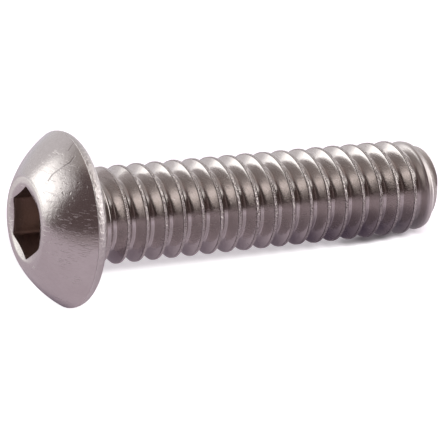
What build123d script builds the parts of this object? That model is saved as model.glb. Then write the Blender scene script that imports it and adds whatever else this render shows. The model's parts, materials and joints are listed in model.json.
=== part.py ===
from build123d import *
from math import asin, atan2, ceil, cos, hypot, radians, sin, sqrt, tan
import os

# Button head socket screw, quarter inch by 20 threads to the inch, one inch under the head.
# It is one piece of stainless steel: the head is cold-formed and the thread is rolled.
# Sizes are in millimetres and angles in degrees. Heights run along the screw's axis, from
# the bearing face under the head towards the tip.

# Head: a low dome with a flat ring on top and a plain band around its rim
head_diameter = 10.9
head_height = 3.2
head_top_diameter = 5.8
head_side_height = 0.78
dome_radius = 7.3
top_edge_radius = 0.6
rim_edge_radius = 0.73

# Hexagon socket, with a conical lead-in and a shallow cone sunk in its floor
socket_across_flats = 3.97
socket_depth = 2.1
socket_turn = 21.0
lead_in_diameter = 4.9
lead_in_angle = 152.0
floor_cone_diameter = 3.6
floor_cone_angle = 140.0

# Right-hand thread over the whole shank, with flat crests and narrow flat roots
shank_length = 24.75
thread_major_diameter = 6.12
thread_pitch = 1.27
thread_angle = 60.0
thread_crest_flat = 0.16
thread_root_flat = 0.24
first_crest_height = 0.47

# Next to the head the groove runs out up a cone, and the crest is not fully formed
neck_fillet_radius = 0.35
neck_crest_drop = 0.11
run_out_start = 0.55
run_out_length = 1.0

# The crest tapers over the last turn, and the end edge is broken
tip_taper_length = 1.93
tip_taper_drop = 0.25
tip_edge_length = 0.4
tip_edge_drop = 0.4

head_radius = head_diameter / 2
head_top_radius = head_top_diameter / 2
crest_radius = thread_major_diameter / 2
neck_radius = crest_radius - neck_crest_drop
run_out_end = run_out_start + run_out_length
tip_taper_start = shank_length - tip_taper_length
tip_edge_start = shank_length - tip_edge_length
tip_edge_radius = crest_radius - tip_taper_drop
tip_end_radius = tip_edge_radius - tip_edge_drop

# One groove and one ridge in section. The flanks lean at half the thread angle.
flank_angle = radians(thread_angle / 2)
groove_half_width = (thread_pitch - thread_crest_flat) / 2
root_half_width = thread_root_flat / 2
root_radius = crest_radius - (groove_half_width - root_half_width) / tan(flank_angle)
turn_section = [
    (root_radius, -root_half_width),
    (root_radius, root_half_width),
    (crest_radius, groove_half_width),
    (crest_radius, thread_pitch - groove_half_width),
    (root_radius, thread_pitch - root_half_width),
]

# The turns start well inside the head and end beyond the tip, where both ends are cut off
buried_turns = ceil((head_side_height + first_crest_height) / thread_pitch) + 2
first_turn_height = first_crest_height - thread_pitch / 2 - buried_turns * thread_pitch
turn_count = ceil((shank_length - first_turn_height) / thread_pitch) + 1
last_turn_height = first_turn_height + turn_count * thread_pitch


def helix_turn(radius, height):
    """One turn of the right-hand helix that starts at this height."""
    return Edge.make_helix(thread_pitch, thread_pitch, radius, center=(0, 0, height))


def rod_end(height):
    """A flat step and a helical ramp, which together close the rod at one end."""
    axis_start = (0, 0, height - root_half_width)
    axis_end = (0, 0, height + thread_pitch - root_half_width)
    step_corners = [(radius, 0, height + rise) for radius, rise in turn_section]
    step = Face(Wire.make_polygon([axis_start, *step_corners, axis_end]))
    ramp_edge = helix_turn(root_radius, height - root_half_width)
    ramp = Face.make_surface_from_curves(Edge.make_line(axis_start, axis_end), ramp_edge)
    return [step, ramp]


# The threaded rod's skin: for each turn, a ruled strip for the root, each flank and the crest
rod_faces = rod_end(first_turn_height) + rod_end(last_turn_height)
for turn in range(turn_count):
    turn_height = first_turn_height + turn * thread_pitch
    edges = [helix_turn(radius, turn_height + rise) for radius, rise in turn_section]
    for lower_edge, upper_edge in zip(edges, edges[1:]):
        rod_faces.append(Face.make_surface_from_curves(lower_edge, upper_edge))
threaded_rod = Solid(Shell(Face.sew_faces(rod_faces)[0]))

# The shank is what the rod and this turned outline share. The outline stands clear of the
# crest, apart from the neck and the tip, and it starts inside the head.
clear_radius = crest_radius + neck_crest_drop
taper_lean = tip_taper_drop / (tip_edge_start - tip_taper_start)

with BuildPart() as shank:
    with BuildSketch(Plane.XZ):
        with BuildLine():
            Polyline(
                (0, -head_side_height),
                (neck_radius, -head_side_height),
                (neck_radius, run_out_end),
                (clear_radius, run_out_end + thread_pitch),
                (clear_radius, tip_taper_start - neck_crest_drop / taper_lean),
                (tip_edge_radius, tip_edge_start),
                (tip_end_radius, shank_length),
                (0, shank_length),
                close=True,
            )
        make_face()
    revolve(axis=Axis.Z)
    add(threaded_rod, mode=Mode.INTERSECT)

# The head, its neck and the cone that fills the groove where it runs out
with BuildPart() as head:
    with BuildSketch(Plane.XZ) as head_section:
        with BuildLine():
            Polyline(
                (head_top_radius, -head_height),
                (0, -head_height),
                (0, run_out_end),
                (root_radius - thread_root_flat, run_out_end),
                (neck_radius, run_out_start),
                (neck_radius, 0),
                (head_radius, 0),
                (head_radius, -head_side_height),
            )
            RadiusArc((head_radius, -head_side_height), (head_top_radius, -head_height), dome_radius)
        make_face()
        rounded_corners = [
            ((head_top_radius, -head_height), top_edge_radius),
            ((head_radius, 0), rim_edge_radius),
            ((neck_radius, 0), neck_fillet_radius),
        ]
        for corner, radius in rounded_corners:
            fillet(head_section.vertices().sort_by_distance(corner)[0], radius)
    revolve(axis=Axis.Z)

# How the screw lies on a level surface: it touches at the rim's lower edge and at the
# thread's last full turn, so its axis slopes down towards the tip.
rim_edge_centre_radius = head_radius - rim_edge_radius
contact_distance = tip_taper_start + rim_edge_radius
contact_drop = rim_edge_centre_radius - crest_radius
slope = atan2(contact_drop, contact_distance)
slope += asin(rim_edge_radius / hypot(contact_drop, contact_distance))
tip_reach = shank_length * cos(slope) + tip_end_radius * sin(slope)
head_reach = head_height * cos(slope) + head_top_radius * sin(slope)
axis_height = tip_taper_start * sin(slope) + crest_radius * cos(slope)
lying = Plane(
    origin=((head_reach - tip_reach) / 2, 0, axis_height),
    x_dir=(0, 1, 0),
    z_dir=(cos(slope), 0, -sin(slope)),
)

# The lead-in opens the socket's mouth on the flat ring just past the hexagon's corners
socket_corner_radius = socket_across_flats / sqrt(3)
lead_in_radius = lead_in_diameter / 2
lead_in_depth = lead_in_radius / tan(radians(lead_in_angle / 2))
floor_cone_radius = floor_cone_diameter / 2
floor_cone_depth = floor_cone_radius / tan(radians(floor_cone_angle / 2))
head_top = lying.offset(-head_height)
socket_floor = head_top.offset(socket_depth)
into_the_head = (Align.CENTER, Align.CENTER, Align.MIN)

with BuildPart() as button_head_screw:
    with Locations(lying):
        add(shank.part)
        add(head.part)
    with BuildSketch(head_top):
        RegularPolygon(socket_corner_radius, 6, rotation=socket_turn)
    extrude(amount=socket_depth, mode=Mode.SUBTRACT)
    with Locations(head_top):
        Cone(lead_in_radius, 0, lead_in_depth, align=into_the_head, mode=Mode.SUBTRACT)
    with Locations(socket_floor):
        Cone(floor_cone_radius, 0, floor_cone_depth, align=into_the_head, mode=Mode.SUBTRACT)

button_head_screw.part.label = "button_head_screw"
os.makedirs("parts", exist_ok=True)
export_step(button_head_screw.part, "parts/button_head_screw.step")
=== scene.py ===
import json
from math import atan2, cos, hypot, pi, radians, sin, sqrt, tan

import bpy
import numpy as np
from mathutils import Matrix, Vector


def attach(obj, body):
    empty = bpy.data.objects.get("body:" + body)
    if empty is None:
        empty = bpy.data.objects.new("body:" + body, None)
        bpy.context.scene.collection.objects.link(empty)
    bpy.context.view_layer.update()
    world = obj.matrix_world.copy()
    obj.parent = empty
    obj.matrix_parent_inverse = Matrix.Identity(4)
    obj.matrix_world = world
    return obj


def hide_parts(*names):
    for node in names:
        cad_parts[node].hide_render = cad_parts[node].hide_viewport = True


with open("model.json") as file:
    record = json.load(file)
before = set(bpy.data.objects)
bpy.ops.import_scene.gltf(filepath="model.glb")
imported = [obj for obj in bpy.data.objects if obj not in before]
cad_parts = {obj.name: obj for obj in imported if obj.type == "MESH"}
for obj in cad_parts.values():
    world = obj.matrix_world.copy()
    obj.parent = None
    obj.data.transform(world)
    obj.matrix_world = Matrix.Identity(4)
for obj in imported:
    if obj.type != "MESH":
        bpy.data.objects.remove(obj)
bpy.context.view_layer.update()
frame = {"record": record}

# Head: stainless steel, cold-formed in one blow, with a hexagon socket punched into it. The
# socket has a conical lead-in and a drill-point floor. Every edge is a little soft, as pressed
# metal is.

# Sizes are in millimetres on the screw's own axis, which slopes down to the tip as the screw
# lies. Heights count from the bearing face under the head towards the tip, and angles turn from
# the axis's level side.
MM = 0.001
thread_mount = next(m for m in frame["record"]["mounts"] if m["name"] == "thread")
bearing = Vector(thread_mount["pos_m"])
along = Vector(thread_mount["axis"]).normalized()
across = Vector((0.0, 1.0, 0.0))
lying = Matrix((across, along.cross(across), along)).transposed()

head_radius = 5.45
head_height = 3.2
head_top_radius = 2.9
head_side_height = 0.78
dome_radius = 7.3
rim_edge_radius = 0.73
neck_radius = 2.95
neck_fillet_radius = 0.35
bearing_face_rings = (4.2, 3.7)
socket_half_width = 3.97 / 2
socket_corner_cut = 0.03
socket_turn = radians(21.0)
socket_depth = 2.1
lead_in_radius = 2.45
lead_in_angle = radians(76.0)
floor_cone_radius = 1.8
floor_cone_angle = radians(70.0)

columns = 168
angles = socket_turn + np.arange(columns) * 2 * pi / columns
corners = []
faces = []


def ring(radius, height):
    """Adds a ring of corners round the axis, and returns their numbers."""
    radius, height, _ = np.broadcast_arrays(radius, height, angles)
    first = len(corners)
    corners.extend(zip(radius * np.cos(angles), radius * np.sin(angles), height))
    return np.arange(first, first + columns)


def add_face(numbers):
    """Adds a face, without the sides that have no length."""
    face = [int(number) for i, number in enumerate(numbers) if number != numbers[i - 1]]
    if len(face) > 2:
        faces.append(face)


def band(before, after):
    """Joins two rings with a band of faces."""
    for numbers in zip(before, np.roll(before, -1), np.roll(after, -1), after):
        add_face(numbers)


def eased(before, corner, after, reach, steps):
    """A path's corner as a row of points that round it off over this reach each way."""
    before, corner, after = (
        np.stack(np.broadcast_arrays(*point, angles)[:2]) for point in (before, corner, after)
    )
    start = corner + (before - corner) * reach / np.hypot(*(before - corner))
    end = corner + (after - corner) * reach / np.hypot(*(after - corner))
    shares = np.linspace(0, 1, steps + 1)
    return [start * (1 - t) ** 2 + corner * 2 * t * (1 - t) + end * t**2 for t in shares]


def arc(start, end, radius, steps):
    """Points on an arc between two points, bulging away from the axis and the head's top."""
    (start_radius, start_height), (end_radius, end_height) = start, end
    half = hypot(end_radius - start_radius, end_height - start_height) / 2
    away = sqrt(radius**2 - half**2)
    middle = np.array([(start_radius + end_radius) / 2, (start_height + end_height) / 2])
    sideways = np.array([start_height - end_height, end_radius - start_radius])
    centre = middle + away / (2 * half) * sideways
    first = atan2(start_height - centre[1], start_radius - centre[0])
    last = atan2(end_height - centre[1], end_radius - centre[0])
    return [
        (centre[0] + radius * cos(a), centre[1] + radius * sin(a))
        for a in np.linspace(first, last, steps + 1)
    ]


# The socket's walls: the distance from the axis to the hexagon, with its corners cut a little
off_flat = (angles - socket_turn) % (pi / 3) - pi / 6
hexagon = np.minimum(
    socket_half_width / np.cos(off_flat),
    socket_half_width / cos(pi / 6) - socket_corner_cut,
)
socket_floor = socket_depth - head_height
lead_in_height = (lead_in_radius - hexagon) / tan(lead_in_angle) - head_height
floor_cone_depth = floor_cone_radius / tan(floor_cone_angle)

# The head's outline as a path of (radius, height), from the cone in the socket's floor, out
# over the dome and round the rim, to the neck
dome_start = (head_top_radius, -head_height)
dome_end = (head_radius, -head_side_height)
rim_start = (head_radius, -rim_edge_radius)
rim_end = (head_radius - rim_edge_radius, 0.0)
dome = arc(dome_start, dome_end, dome_radius, steps=16)
rim = arc(rim_start, rim_end, rim_edge_radius, steps=10)
neck = [
    (
        neck_radius + neck_fillet_radius * (1 - sin(a)),
        neck_fillet_radius * (1 - cos(a)),
    )
    for a in np.linspace(0, pi / 2, 6)
]
cone_point = (0, socket_floor + floor_cone_depth)
cone_edge = (floor_cone_radius, socket_floor)
wall_foot = (hexagon, socket_floor)
wall_head = (hexagon, lead_in_height)
mouth = (lead_in_radius, -head_height)

path = [
    (share * floor_cone_radius, socket_floor + (1 - share) * floor_cone_depth)
    for share in (0.02, 0.3, 0.6, 0.85)
]
path += eased(cone_point, cone_edge, wall_foot, reach=0.04, steps=2)
path += eased(cone_edge, wall_foot, wall_head, reach=0.06, steps=3)
path += [
    (hexagon, socket_floor * (1 - share) + lead_in_height * share) for share in (0.3, 0.65)
]
path += eased(wall_foot, wall_head, mouth, reach=0.035, steps=3)
path += eased(wall_head, mouth, dome[0], reach=0.05, steps=3)
path += [((lead_in_radius + head_top_radius) / 2, -head_height)]
path += eased(mouth, dome[0], dome[1], reach=0.15, steps=6)
path += dome[2:-1]
path += eased(dome[-2], dome[-1], rim[0], reach=0.045, steps=4)
path += rim[1:]
path += [(radius, 0.0) for radius in bearing_face_rings]
path += neck
rings = [ring(*point) for point in path]
for before, after in zip(rings, rings[1:]):
    band(before, after)
faces.append([int(number) for number in rings[0][::-1]])

# Thread: rolled onto the blank between two dies, right-hand, 20 turns to the inch over the whole
# shank. Rolling leaves a rounded root, smooth flanks and a ragged seam along the crest, where
# the metal from both sides met.
shank_length = 24.75
pitch = 1.27
crest_radius = 3.06
crest_half_width = 0.08
root_depth = 0.79
head_flank_angle = radians(26.5)
tip_flank_angle = radians(30.0)
last_groove_start = 21.9
last_groove_length = 0.5
last_groove_rise = 0.22
first_crest = 0.47
run_out_start = 0.55
run_out_end = 1.55
run_out_below_root = 0.24
neck_crest_drop = 0.11
tip_taper_start = shank_length - 1.93
tip_taper_lead = 0.67
tip_edge_start = shank_length - 0.4
tip_edge_radius = crest_radius - 0.25
tip_end_radius = tip_edge_radius - 0.4
thread_foot = 0.45
root_softness = 0.035
crest_softness = 0.05
tip_softness = 0.04

root_radius = crest_radius - root_depth
clear_radius = crest_radius + neck_crest_drop
rng = np.random.default_rng(20)
ragged_values = rng.uniform(0, 1, 4096)


def wobble(place, seed):
    """Smooth random values from 0 to 1 along a line, one bump to each whole number."""
    whole = np.floor(place).astype(int)
    share = place - whole
    share = share * share * (3 - 2 * share)
    here = ragged_values[(whole + seed) % len(ragged_values)]
    beyond = ragged_values[(whole + 1 + seed) % len(ragged_values)]
    return here * (1 - share) + beyond * share


def soft_least(a, b, reach):
    """The smaller of two radii, eased where they cross."""
    closeness = np.maximum(reach - np.abs(a - b), 0) / reach
    return np.minimum(a, b) - closeness * closeness * reach / 4


def shank_radius(height, angle):
    """The radius of the threaded shank's skin at this height and angle."""
    turns = (height - first_crest) / pitch - angle / (2 * pi)
    off_crest = (turns + 0.5) % 1 - 0.5
    crest_place = (np.round(turns) + angle / (2 * pi)) * 2 * pi * crest_radius

    # One groove and one ridge in section, which is a little steeper in the last groove
    head_flank_rise = 1 / tan(head_flank_angle)
    head_flank_rise += last_groove_rise * np.clip(
        (height - last_groove_start) / last_groove_length, 0, 1
    )
    rise = np.where(off_crest > 0, 1 / tan(tip_flank_angle), head_flank_rise)
    flank = crest_radius + (crest_half_width - np.abs(off_crest) * pitch) * rise
    ridge = -soft_least(-flank, -root_radius, root_softness)

    # The crest is chipped and wavy, and split by the seam along its middle
    chips = 0.010 * wobble(crest_place * 6, 0)
    waves = 0.014 * wobble(crest_place * 1.7, 700)
    seam = 0.030 * wobble(crest_place * 1.1, 1500)
    seam = seam * np.exp(-(((off_crest * pitch) / 0.03) ** 2))
    ridge = soft_least(ridge, crest_radius - chips - waves - seam, crest_softness)

    # The outline that cuts the crest down beside the head and at the tip
    outline = np.interp(
        height,
        [
            run_out_end,
            run_out_end + pitch,
            tip_taper_start - tip_taper_lead,
            tip_edge_start,
            shank_length,
        ],
        [neck_radius, clear_radius, clear_radius, tip_edge_radius, tip_end_radius],
    )
    run_out = np.interp(
        height, [run_out_start, run_out_end], [neck_radius, root_radius - run_out_below_root]
    )
    return np.maximum(run_out, soft_least(ridge, outline, tip_softness))


# Rows of corners follow the helix, and stand closest together at the crest. They start below
# the thread's foot and run on past the tip, where both ends are gathered into a level ring.
turns_before = 3
turns_beyond = 4
end_margin = 0.02
off_crests = np.array([0.03, 0.055, 0.075, 0.095, 0.13, 0.24, 0.36, 0.44, 0.49, 0.54, 0.59])
rises = np.concatenate([-off_crests[::-1], [0], off_crests, [pitch / 2]])
turn_count = int((shank_length + turns_beyond * pitch) / pitch)
heights = (np.arange(-turns_before, turn_count)[:, None] * pitch + rises).reshape(-1, 1)
heights = heights + first_crest + pitch * angles / (2 * pi)
radii = shank_radius(heights, angles)
foot_radii = shank_radius(np.full(columns, thread_foot), angles)
end_radii = shank_radius(np.full(columns, shank_length), angles)
foot_ring = ring(foot_radii, thread_foot)
end_ring = ring(end_radii, shank_length)
band(rings[-1], foot_ring)

rows = []
for row_heights, row_radii in zip(heights, radii):
    low = row_heights < thread_foot + end_margin
    high = row_heights > shank_length - end_margin
    free = ~(low | high)
    first = len(corners)
    row_corners = zip(row_radii * np.cos(angles), row_radii * np.sin(angles), row_heights)
    corners.extend(corner for corner, kept in zip(row_corners, free) if kept)
    row = np.where(low, foot_ring, end_ring)
    row[free] = np.arange(first, first + free.sum())
    rows.append(row)


def next_round(number):
    """For each corner of a row, the one that follows it round the screw."""
    # Each row climbs one pitch in a turn, so its last corner meets the row a whole turn on
    turn_on = min(number + len(rises), len(rows) - 1)
    return np.append(rows[number][1:], rows[turn_on][0])


for number in range(len(rows) - 1):
    neighbours = (rows[number], next_round(number), next_round(number + 1), rows[number + 1])
    for numbers in zip(*neighbours):
        add_face(numbers)

# End: the blank was sheared off square, and rolling the last turn left its face a little dished.
# The rings below are shares of the end's radius, each with how deep the dish is there.
last = end_ring
for share, dish in ((0.97, 0.0), (0.9, 0.01), (0.6, 0.03), (0.3, 0.035), (0.03, 0.035)):
    inner = ring(end_radii * share, shank_length - dish)
    band(last, inner)
    last = inner
faces.append([int(number) for number in last])

# The whole skin is one mesh. It lies as the solid does, and nothing of it is below the floor.
points = np.array(corners) @ (np.array(lying).T * MM) + np.array(bearing)
points[:, 2] = np.maximum(points[:, 2], 0)
screw_mesh = bpy.data.meshes.new("button_head_screw_skin")
screw_mesh.from_pydata(points.tolist(), [], faces)
screw_mesh.validate()
screw_mesh.polygons.foreach_set("use_smooth", [True] * len(screw_mesh.polygons))
screw = bpy.data.objects.new("button_head_screw_skin", screw_mesh)
bpy.context.scene.collection.objects.link(screw)
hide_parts("button_head_screw")
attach(screw, "root")


# Steel: bare and bright, with no coating. It has the fine scratches and small dents of a part
# that was tumbled with others. The rim, the crests and the tip's edge have a coarser grain.
class Shade:
    """A socket in a node tree. Arithmetic on it adds Math nodes, and node() adds any other."""

    def __init__(self, tree, socket=None):
        self.tree = tree
        self.socket = socket

    def node(self, kind, settings=(), inputs=(), output=0):
        """Any node, from its settings, which are set first, and its sockets' values or links."""
        node = self.tree.nodes.new(kind)
        for name, value in dict(settings).items():
            setattr(node, name, value)
        for name, value in dict(inputs).items():
            if isinstance(value, Shade):
                self.tree.links.new(value.socket, node.inputs[name])
            else:
                node.inputs[name].default_value = value
        return Shade(self.tree, node.outputs[output] if node.outputs else None)

    def maths(self, operation, *values):
        """Maths on numbers."""
        return self.node("ShaderNodeMath", {"operation": operation}, enumerate(values))

    def vectors(self, operation, *values, output="Vector"):
        """Maths on vectors and colours. The output called Value is a number."""
        settings = {"operation": operation}
        return self.node("ShaderNodeVectorMath", settings, enumerate(values), output)

    def __add__(self, other):
        return self.maths("ADD", self, other)

    def __sub__(self, other):
        return self.maths("SUBTRACT", self, other)

    def __rsub__(self, other):
        return self.maths("SUBTRACT", other, self)

    def __mul__(self, other):
        return self.maths("MULTIPLY", self, other)

    def __truediv__(self, other):
        return self.maths("DIVIDE", self, other)

    __radd__ = __add__
    __rmul__ = __mul__

    def coordinate(self, number):
        """One of a vector's three numbers."""
        return self.node("ShaderNodeSeparateXYZ", (), {0: self}, number)

    def length(self):
        """A vector's length."""
        return self.vectors("LENGTH", self, output="Value")

    def distance(self, point):
        """How far a place is from a point."""
        return self.vectors("DISTANCE", self, point, output="Value")

    def rising(self, low, high):
        """0 below the low value and 1 above the high one, smooth between."""
        return self.node(
            "ShaderNodeMapRange",
            {"interpolation_type": "SMOOTHSTEP"},
            {"Value": self, "From Min": low, "From Max": high},
        )

    def mixed(self, first, second):
        """One colour where this is 0 and another where it is 1."""
        return self.node(
            "ShaderNodeMix", {"data_type": "RGBA"}, {0: self, 6: first, 7: second}, 2
        )


def emptied(owner):
    """The node tree of a material or a world, cleared."""
    owner.use_nodes = True
    owner.node_tree.nodes.clear()
    return Shade(owner.node_tree)


steel = bpy.data.materials.new("stainless_steel")
bare = emptied(steel)
in_room = bare.node("ShaderNodeTexCoord", output="Object")
on_screw = bare.node(
    "ShaderNodeMapping",
    {"vector_type": "TEXTURE"},
    {
        "Vector": in_room,
        "Location": bearing,
        "Rotation": lying.to_euler(),
        "Scale": (MM, MM, MM),
    },
)
height = on_screw.coordinate(2)
radius = on_screw.vectors("MULTIPLY", on_screw, (1, 1, 0)).length()


def noise(scale, detail=2.0, sharpness=0.5, place=on_screw):
    """Smooth random values from 0 to 1, this many bumps to the millimetre."""
    inputs = {"Vector": place, "Scale": scale, "Detail": detail, "Roughness": sharpness}
    return bare.node("ShaderNodeTexNoise", (), inputs)


# Parts of the skin: 1 on the part and 0 off it
head_side = 1 - height.rising(0.0, 0.2)
crest = radius.rising(crest_radius - 0.07, crest_radius - 0.02) * height.rising(0.1, 0.3)
rim_side = height.rising(-head_side_height - 0.01, -head_side_height + 0.03)
rim_side = rim_side * radius.rising(head_radius - 0.85, head_radius - 0.65)
in_socket = 1 - radius.rising(lead_in_radius - 0.15, lead_in_radius - 0.09)
in_socket = in_socket * height.rising(-head_height + 0.08, -head_height + 0.2) * head_side
last_turn = height.rising(tip_edge_start - 1.25, tip_edge_start - 0.65)
tip_side = height.rising(tip_edge_start - 0.5, tip_edge_start - 0.2)
tip_edge = height.rising(tip_edge_start - 0.45, tip_edge_start - 0.2)
tip_chamfer = height.rising(tip_edge_start - 0.15, tip_edge_start)

speckle = noise(4.5, 3.0, 0.6)
cloud = noise(0.8, 2.0)
pits = noise(5.0, 1.0).rising(0.66, 0.72)


def scratches(turn, seed, fewest):
    """Fine straight scratches that run one way over the surface."""
    place = bare.node(
        "ShaderNodeMapping",
        (),
        {"Vector": on_screw, "Location": seed, "Rotation": turn, "Scale": (0.7, 6.5, 0.7)},
    )
    return noise(1.6, 1.0, 0.5, place).rising(fewest, fewest + 0.05)


def dent(start, end, width):
    """One straight scratch between two points on the screw."""
    start, end = Vector(start), Vector(end)
    run = end - start
    offset = on_screw.vectors("SUBTRACT", on_screw, start)
    share = offset.vectors("DOT_PRODUCT", offset, run, output="Value") / run.length_squared
    share = bare.node("ShaderNodeClamp", (), {"Value": share})
    nearest = bare.node("ShaderNodeVectorMath", {"operation": "SCALE"}, {0: run, "Scale": share})
    return 1 - offset.distance(nearest).rising(width * 0.3, width)


def strongest(masks):
    """The largest of some masks at each place."""
    most = masks[0]
    for mask in masks[1:]:
        most = bare.maths("MAXIMUM", most, mask)
    return most


marks = strongest([
    scratches((0.3, 0.2, 0.5), (3, 1, 7), 0.69),
    scratches((0.9, -0.4, 1.9), (8, 4, 2), 0.67),
    scratches((-0.6, 0.5, -0.7), (1, 9, 5), 0.69),
    scratches((1.7, 0.8, 0.1), (6, 2, 9), 0.68),
])
marks = marks * (0.25 + 0.75 * noise(0.55, 1.0).rising(0.44, 0.58))

# A long bent scratch and three short ones on the dome, and a nick in the thread
dents = strongest([
    dent((-1.70, 3.35, -2.63), (-1.67, 3.70, -2.38), 0.06),
    dent((-1.67, 3.70, -2.38), (-2.05, 4.53, -1.44), 0.06),
    dent((-2.05, 4.53, -1.44), (-1.92, 4.84, -1.14), 0.07),
    dent((-1.23, 4.98, -1.24), (-0.97, 5.36, -0.75), 0.05),
    dent((-2.95, 3.02, -2.24), (-3.39, 2.67, -1.95), 0.07),
    dent((-3.39, 2.67, -1.95), (-3.33, 3.13, -1.89), 0.06),
    dent((-1.80, 2.30, 4.60), (-1.80, 2.42, 4.60), 0.10),
])

grain = speckle * (0.25 + head_side * 0.15 + crest * 6.5 + rim_side * 4.5 + tip_edge * 2.0)
relief = grain - (marks * 0.24 + pits * 0.16) * head_side - dents * 0.5
grain_depth = 0.000022
bump = bare.node(
    "ShaderNodeBump", (), {"Strength": 1.0, "Distance": grain_depth, "Height": relief}
)

rough = 0.18 + cloud * 0.05 + crest * 0.04 + rim_side * 0.1 + in_socket * 0.1 + marks * 0.08
rough = rough + last_turn * 0.22 + tip_chamfer * 0.16

dull_steel = (0.53, 0.49, 0.475, 1)
clean_steel = (0.61, 0.57, 0.555, 1)
# Painted shade for the socket's recess: a darker, browner steel
socket_painted_shade = (0.42, 0.34, 0.31, 1)
dent_steel = (0.20, 0.18, 0.18, 1)
# Painted highlight for the rim's side: a lighter steel
rim_painted_highlight = (0.80, 0.76, 0.75, 1)
# Painted highlight for the tip's side: a lighter steel
tip_painted_highlight = (0.86, 0.82, 0.80, 1)
tone = (speckle.rising(0.3, 0.7) * 0.35 + cloud * 0.75).mixed(dull_steel, clean_steel)
# The socket is painted darker and browner: painted shade in the recess
tone = in_socket.mixed(tone, socket_painted_shade)
tone = (dents * 0.38).mixed(tone, dent_steel)
# The rim's side is painted lighter, a painted highlight, and only below a set height in the room,
# so its top keeps the plain tone
below_rim_top = 1 - in_room.coordinate(2).rising(0.0084, 0.0094)
tone = (rim_side * 0.5 * below_rim_top).mixed(tone, rim_painted_highlight)
# The tip's side is painted lighter: a painted highlight
tone = (tip_side * 0.6).mixed(tone, tip_painted_highlight)
surface = bare.node(
    "ShaderNodeBsdfPrincipled",
    (),
    {"Base Color": tone, "Metallic": 1.0, "Roughness": rough, "Normal": bump},
)
bare.node("ShaderNodeOutputMaterial", (), {"Surface": surface})
screw_mesh.materials.append(steel)

# Floor: a wide pale table of matt board that the screw lies on. Seen straight, it is white and
# takes the screw's shadow, with painted shadow near the thread. Seen in the steel, it has painted
# light and shade in its glow: bright beyond the tip and far off at the left, dim behind, and
# darkest in front.
floor_half_side = 3
floor_drop = 0.00001
floor_corners = [
    (x * floor_half_side, y * floor_half_side, 0) for x, y in ((-1, -1), (1, -1), (1, 1), (-1, 1))
]
floor_mesh = bpy.data.meshes.new("floor")
floor_mesh.from_pydata(floor_corners, [], [(0, 1, 2, 3)])
floor = bpy.data.objects.new("floor", floor_mesh)
floor.location.z = -floor_drop
bpy.context.scene.collection.objects.link(floor)
pale = bpy.data.materials.new("pale_table")
table = emptied(pale)


def ray(shade, kind):
    """1 for light paths of this kind."""
    return shade.node("ShaderNodeLightPath", output=f"Is {kind} Ray")


camera_ray = ray(table, "Camera")
glossy_ray = ray(table, "Glossy")
glass_ray = ray(table, "Transmission")
seen = table.maths("MINIMUM", camera_ray + glass_ray, 1.0)
shown = table.maths("MINIMUM", camera_ray + glass_ray + glossy_ray, 1.0)
spot = table.node("ShaderNodeNewGeometry", output="Position")
spot_x = spot.coordinate(0)
spot_y = spot.coordinate(1)
spot_azimuth = table.maths("ARCTAN2", spot_x, spot_y)
spot_distance = spot.length()
far = spot_distance.rising(0.02, 0.06)
near = spot_distance.rising(0.008, 0.03)


def sector(middle, inner, outer):
    """1 in the directions round this one, and 0 beyond the outer angle from it, in degrees."""
    off_middle = table.maths("ABSOLUTE", spot_azimuth - radians(middle))
    return 1 - off_middle.rising(radians(inner), radians(outer))


# What the steel mirrors of the table: a painted glow, pools of light and shade by direction from
# the screw
behind = (spot_y * cos(radians(20)) + spot_x * sin(radians(20))).rising(0.001, 0.085)
glow = behind.mixed((0.05, 0.035, 0.06, 1), (0.34, 0.37, 0.40, 1))
glow = (sector(70, 20, 45) * near).mixed(glow, (1.0, 1.03, 1.05, 1))
glow = (sector(-51.9, 0, 16.8) * far).mixed(glow, (1.57, 1.74, 1.58, 1))

# What is seen of it straight: white, with painted grey shadow beside the screw, where the glow
# drops so that the lamp's shadow shows, and painted shadow, nearly black, where the last full
# turn of the thread touches it
painted_shadow_area = (spot_y + spot_x * 0.21).rising(0.0003, 0.0018) * spot_x.rising(-0.0130, -0.0105)
painted_shadow_area = painted_shadow_area * (1 - spot_distance.rising(0.022, 0.05))
painted_contact_shadow = spot.vectors("MULTIPLY", spot, (0.3, 1, 0)).distance((0.00312, -0.00035, 0))
painted_contact_shadow = (1 - painted_contact_shadow.rising(0.0002, 0.00115)) * 0.85
white = painted_shadow_area.mixed((0.85, 0.85, 0.85, 1), (0.33, 0.32, 0.33, 1))
glow = seen.mixed(glow, painted_contact_shadow.mixed(white, (0.04, 0.03, 0.035, 1)))

# How much of the lamp's light it sends back, darkened as painted shade: less far in front, and
# least under the screw and where it touches
front_far = (1 - spot_y.rising(-0.03, 0.0)) * far
under = 1 - table.maths("ABSOLUTE", spot_y + 0.008).rising(0.003, 0.0075)
under = under * spot_x.rising(-0.0115, -0.007) * (1 - spot_x.rising(0.003, 0.012))
touch = spot.vectors("MULTIPLY", spot, (1, 1.7, 0)).distance((0.0095, -0.0017, 0))
touch = 1 - touch.rising(0.003, 0.0105)
albedo = front_far.mixed((0.60, 0.53, 0.57, 1), (0.33, 0.285, 0.28, 1))
albedo = (under * 0.62).mixed(albedo, (0.36, 0.32, 0.325, 1))
albedo = touch.mixed(albedo, (0.22, 0.19, 0.205, 1))
# Seen straight, the painted contact shadow darkens it where the thread touches
albedo = seen.mixed(albedo, painted_contact_shadow.mixed((0.95, 0.885, 0.945, 1), (0.12, 0.10, 0.11, 1)))
matt = table.node("ShaderNodeBsdfDiffuse", (), {"Color": albedo})
glowing = table.node("ShaderNodeEmission", (), {"Color": glow, "Strength": shown})
both = table.node("ShaderNodeAddShader", (), {0: matt, 1: glowing})
table.node("ShaderNodeOutputMaterial", (), {"Surface": both})
floor_mesh.materials.append(pale)

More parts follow.
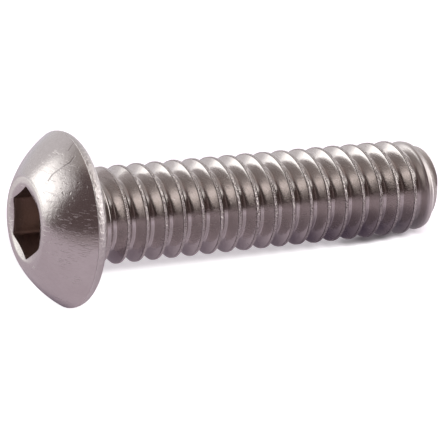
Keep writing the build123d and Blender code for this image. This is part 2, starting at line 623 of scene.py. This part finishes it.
# Studio: a white paper sweep that runs behind the table from the left round to the right, a soft
# panel at each side, and a dark room in front. Azimuths turn clockwise from +Y, seen from above.
studio = bpy.data.worlds.new("studio")
bpy.context.scene.world = studio
room = emptied(studio)
direction = room.node("ShaderNodeTexCoord", output="Generated")
to_x, to_y, to_z = (direction.coordinate(number) for number in range(3))
degrees = 180 / pi
azimuth = room.maths("ARCTAN2", to_x, to_y) * degrees
front_azimuth = room.maths("ARCTAN2", 0 - to_x, 0 - to_y) * degrees
elevation = room.maths("ARCSINE", to_z) * degrees


def window(bearing, middle, half, soft, low, high, ease):
    """A soft-edged panel of the room: 1 inside and 0 outside, in degrees."""
    off_middle = room.maths("ABSOLUTE", bearing - middle)
    inside = 1 - off_middle.rising(half - soft, half + soft)
    above_low = elevation.rising(low - ease, low + ease)
    below_high = 1 - elevation.rising(high - ease, high + ease)
    return inside * above_low * below_high


def sum_of(first, second):
    """The sum of two colours."""
    return room.vectors("ADD", first, second)


def lamp_light(mask, colour):
    """A panel's own light: this colour where the mask is 1, and black where it is 0."""
    return mask.mixed((0, 0, 0, 1), colour)


# The dark room in front, with a paler stretch in its middle
walls = front_azimuth.rising(-35, 5).mixed((0.06, 0.038, 0.035, 1), (0.127, 0.091, 0.092, 1))
pale_stretch = window(
    front_azimuth, middle=12.0, half=18.0, soft=6, low=14.0, high=62.2, ease=17.2
)
walls = pale_stretch.mixed(walls, (0.21, 0.17, 0.16, 1))

# The sweep, whose edge leans, and the ceiling over it all
sweep_edge = azimuth + elevation * 0.36 - 9 - elevation.rising(45, 60) * 25
sweep = sweep_edge.rising(-100, -78) * (1 - azimuth.rising(127, 134))
paper = elevation.rising(36, 62).mixed((0.809, 0.785, 0.806, 1), (0.44, 0.41, 0.40, 1))
walls = sweep.mixed(walls, paper)
walls = elevation.rising(56, 84).mixed(walls, (0.536, 0.444, 0.420, 1))

# The two panels
left_panel = azimuth.rising(-99, -69) * (1 - azimuth.rising(-42, -28))
left_panel = left_panel * elevation.rising(-6, 18) * (1 - elevation.rising(29, 52))
right_panel = window(azimuth, middle=108, half=24.5, soft=3.0, low=-3.0, high=48.5, ease=6.8)
light = sum_of(walls, lamp_light(left_panel, (1.45, 1.49, 1.45, 1)))
light = sum_of(light, lamp_light(right_panel, (1.55, 1.50, 1.44, 1)))

# Matt things get an even light from all round, and what is seen straight is white
light = ray(room, "Diffuse").mixed(light, (0.38, 0.38, 0.38, 1))
seen_straight = room.maths("MINIMUM", ray(room, "Camera") + ray(room, "Transmission"), 1.0)
light = seen_straight.mixed(light, (1, 1, 1, 1))
sky = room.node("ShaderNodeBackground", (), {"Color": light, "Strength": 1.0})
room.node("ShaderNodeOutputWorld", (), {"Surface": sky})

# Lamp: a round soft lamp over the front of the table, which throws the screw's shadow. The steel
# doesn't mirror it.
lamp_azimuth = radians(195)
lamp_elevation = radians(50)
lamp_distance = 0.4
lamp_brightness = 0.44
lamp_level = cos(lamp_elevation)
lamp_way = Vector(
    (sin(lamp_azimuth) * lamp_level, cos(lamp_azimuth) * lamp_level, sin(lamp_elevation))
)
lamp_data = bpy.data.lights.new("key_lamp", "AREA")
lamp_data.shape = "DISK"
lamp_data.size = 0.22
lamp_data.energy = lamp_brightness * pi * lamp_distance**2 * 4 / sin(lamp_elevation)
lamp = bpy.data.objects.new("key_lamp", lamp_data)
lamp.location = lamp_way * lamp_distance
lamp.rotation_euler = lamp_way.to_track_quat("Z", "Y").to_euler()
lamp.visible_glossy = False
bpy.context.scene.collection.objects.link(lamp)

# Camera: a long lens that looks down on the screw from the head's side. It is placed so that the
# middle of the bearing face comes to a set place in a square frame, in pixels.
frame_side = 444
focal_pixels = 2668.06
bearing_pixel = (73.1702, 218.4244)
camera_azimuth = radians(26.8295)
camera_elevation = radians(23.9044)
camera_reach = 163.28 * MM
sensor_width = 36

camera_level = cos(camera_elevation)
forward = Vector(
    (
        camera_level * sin(camera_azimuth),
        camera_level * cos(camera_azimuth),
        -sin(camera_elevation),
    )
)
rightward = Vector((cos(camera_azimuth), -sin(camera_azimuth), 0))
upward = rightward.cross(forward)
pixels_right = bearing_pixel[0] - frame_side / 2
pixels_up = frame_side / 2 - bearing_pixel[1]
to_bearing = (rightward * pixels_right + upward * pixels_up) / focal_pixels + forward
camera_data = bpy.data.cameras.new("camera")
camera_data.sensor_width = sensor_width
camera_data.lens = sensor_width * focal_pixels / frame_side
camera_data.clip_start = 0.01
camera = bpy.data.objects.new("camera", camera_data)
camera.location = bearing - to_bearing * camera_reach
camera.rotation_euler = Matrix((rightward, upward, -forward)).transposed().to_euler()
bpy.context.scene.collection.objects.link(camera)
bpy.context.scene.camera = camera

bpy.context.scene.view_settings.view_transform = "Standard"
